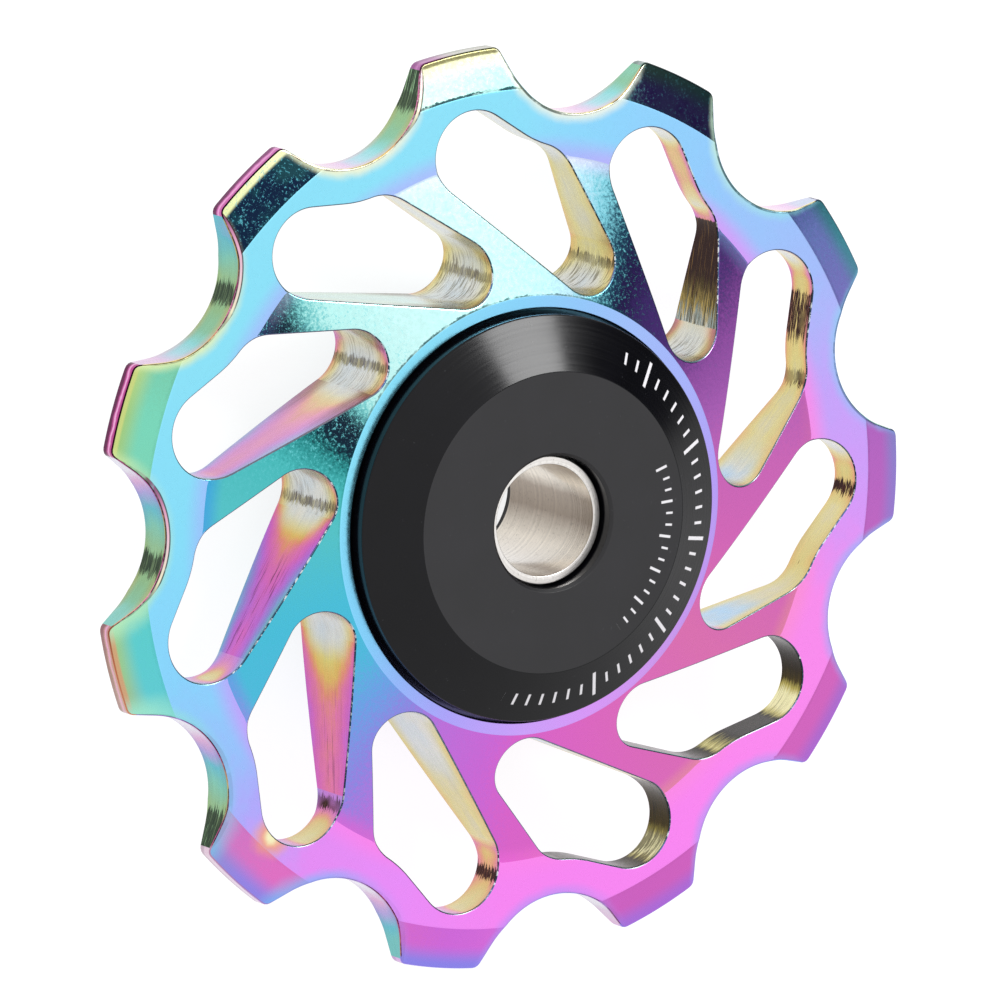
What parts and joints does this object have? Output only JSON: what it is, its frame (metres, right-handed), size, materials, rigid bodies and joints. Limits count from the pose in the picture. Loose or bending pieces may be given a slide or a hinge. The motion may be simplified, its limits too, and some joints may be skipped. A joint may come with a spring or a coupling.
{
  "type": "derailleur jockey wheel",
  "caption": "Toothed guide wheel for a bicycle rear derailleur, with slanted spokes, a sealed ball bearing and a black cap on each side of its hub.",
  "frame": {"origin": "centre of the wheel, on the axle's axis, midway between the two faces of the toothed wheel", "axes": "+Z along the axle out of the front cap, +Y through the middle of one tooth"},
  "size_m": [0.043, 0.0426, 0.0092],
  "materials": {
    "rainbow_aluminium": "polished, with an iridescent oil-slick coating",
    "black_aluminium": "black anodised, glossy cone and satin face",
    "turned_steel": "turned bright",
    "bearing_steel": "ground",
    "cage_steel": "pressed",
    "seal_rubber": "moulded",
    "ceramic": "polished ceramic"
  },
  "bodies": {
    "axle_group": {"axle_sleeve": "turned_steel", "bearing_inner_race": "bearing_steel", "front_cap": "black_aluminium", "rear_cap": "black_aluminium"},
    "wheel": {"toothed_wheel": "rainbow_aluminium", "bearing_outer_race": "bearing_steel", "front_seal": "seal_rubber", "rear_seal": "seal_rubber"},
    "cage": {"cage_front_half": "cage_steel", "cage_rear_half": "cage_steel", "cage_rivets": "cage_steel"},
    "ball_1": {"ball_1": "ceramic"},
    "ball_2": {"ball_2": "ceramic"},
    "ball_3": {"ball_3": "ceramic"},
    "ball_4": {"ball_4": "ceramic"},
    "ball_5": {"ball_5": "ceramic"},
    "ball_6": {"ball_6": "ceramic"},
    "ball_7": {"ball_7": "ceramic"},
    "ball_8": {"ball_8": "ceramic"},
    "ball_9": {"ball_9": "ceramic"}
  },
  "joints": [
    {"name": "wheel_spin", "type": "hinge", "parent": "axle_group", "child": "wheel", "pos_m": [0, 0, 0], "axis": [0, 0, 1], "continuous": true},
    {"name": "cage_spin", "type": "hinge", "parent": "axle_group", "child": "cage", "pos_m": [0, 0, 0], "axis": [0, 0, 1], "continuous": true},
    {"name": "ball_1_roll", "type": "hinge", "parent": "cage", "child": "ball_1", "pos_m": [0.00525, 0, 0], "axis": [0, 0, 1], "continuous": true},
    {"name": "ball_2_roll", "type": "hinge", "parent": "cage", "child": "ball_2", "pos_m": [0.00402, 0.00337, 0], "axis": [0, 0, 1], "continuous": true},
    {"name": "ball_3_roll", "type": "hinge", "parent": "cage", "child": "ball_3", "pos_m": [0.00091, 0.00517, 0], "axis": [0, 0, 1], "continuous": true},
    {"name": "ball_4_roll", "type": "hinge", "parent": "cage", "child": "ball_4", "pos_m": [-0.00263, 0.00455, 0], "axis": [0, 0, 1], "continuous": true},
    {"name": "ball_5_roll", "type": "hinge", "parent": "cage", "child": "ball_5", "pos_m": [-0.00493, 0.0018, 0], "axis": [0, 0, 1], "continuous": true},
    {"name": "ball_6_roll", "type": "hinge", "parent": "cage", "child": "ball_6", "pos_m": [-0.00493, -0.0018, 0], "axis": [0, 0, 1], "continuous": true},
    {"name": "ball_7_roll", "type": "hinge", "parent": "cage", "child": "ball_7", "pos_m": [-0.00263, -0.00455, 0], "axis": [0, 0, 1], "continuous": true},
    {"name": "ball_8_roll", "type": "hinge", "parent": "cage", "child": "ball_8", "pos_m": [0.00091, -0.00517, 0], "axis": [0, 0, 1], "continuous": true},
    {"name": "ball_9_roll", "type": "hinge", "parent": "cage", "child": "ball_9", "pos_m": [0.00402, -0.00337, 0], "axis": [0, 0, 1], "continuous": true}
  ],
  "couplings": [
    {"joint": "cage_spin", "follows": "wheel_spin", "ratio": 0.59524},
    {"joint": "ball_1_roll", "follows": "wheel_spin", "ratio": 2.5298},
    {"joint": "ball_2_roll", "follows": "wheel_spin", "ratio": 2.5298},
    {"joint": "ball_3_roll", "follows": "wheel_spin", "ratio": 2.5298},
    {"joint": "ball_4_roll", "follows": "wheel_spin", "ratio": 2.5298},
    {"joint": "ball_5_roll", "follows": "wheel_spin", "ratio": 2.5298},
    {"joint": "ball_6_roll", "follows": "wheel_spin", "ratio": 2.5298},
    {"joint": "ball_7_roll", "follows": "wheel_spin", "ratio": 2.5298},
    {"joint": "ball_8_roll", "follows": "wheel_spin", "ratio": 2.5298},
    {"joint": "ball_9_roll", "follows": "wheel_spin", "ratio": 2.5298}
  ]
}
